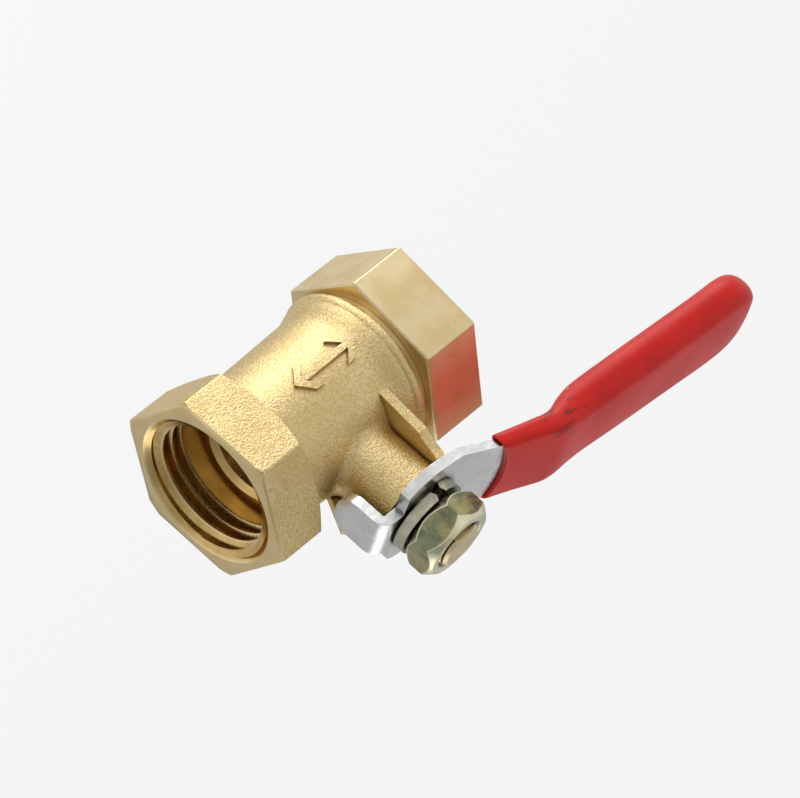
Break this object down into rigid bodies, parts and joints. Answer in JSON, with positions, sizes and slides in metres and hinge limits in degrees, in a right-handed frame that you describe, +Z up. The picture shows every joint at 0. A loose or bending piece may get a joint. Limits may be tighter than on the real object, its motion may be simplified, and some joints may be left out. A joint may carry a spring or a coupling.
{
  "type": "lever ball valve",
  "caption": "Small two-piece brass ball valve with female pipe threads, hexagonal ends and a red-sleeved lever that turns a quarter turn.",
  "frame": {"origin": "centre of the ball, where the pipe axis meets the stem axis", "axes": "+X along the pipe towards the end cast in one piece with the body, +Z up the stem towards the lever, lever open towards -X"},
  "size_m": [0.0821, 0.0266, 0.0438],
  "materials": {
    "cast_brass": "sand-blasted, satin",
    "turned_brass": "machined, semi-gloss",
    "stem_brass": "machined",
    "plated_ball": "polished nickel-chrome plate",
    "seal_white": "matte, waxy PTFE",
    "black_rubber": "matte",
    "zinc_steel": "zinc plated, satin",
    "red_vinyl": "semi-gloss soft vinyl",
    "washer_steel": "yellow zinc plated",
    "yellow_zinc_nut": "yellow zinc plated"
  },
  "bodies": {
    "valve_body": {"body": "cast_brass", "end_adapter": "turned_brass", "body_joint_seal": "seal_white", "seat_ring_body_side": "seal_white", "seat_ring_adapter_side": "seal_white"},
    "lever_set": {"stem": "stem_brass", "stem_thrust_washer": "seal_white", "stem_o_ring_lower": "black_rubber", "stem_o_ring_upper": "black_rubber", "lever": "zinc_steel", "lever_sleeve": "red_vinyl", "spring_washer": "washer_steel", "lever_nut": "yellow_zinc_nut"},
    "ball": {"ball": "plated_ball"}
  },
  "joints": [
    {"name": "lever_turn", "type": "hinge", "parent": "valve_body", "child": "lever_set", "pos_m": [0, 0, 0], "axis": [0, 0, -1], "range_deg": [0, 90]},
    {"name": "ball_turn", "type": "hinge", "parent": "valve_body", "child": "ball", "pos_m": [0, 0, 0], "axis": [0, 0, -1], "range_deg": [0, 90]}
  ],
  "couplings": [
    {"joint": "ball_turn", "follows": "lever_turn", "ratio": 1}
  ]
}
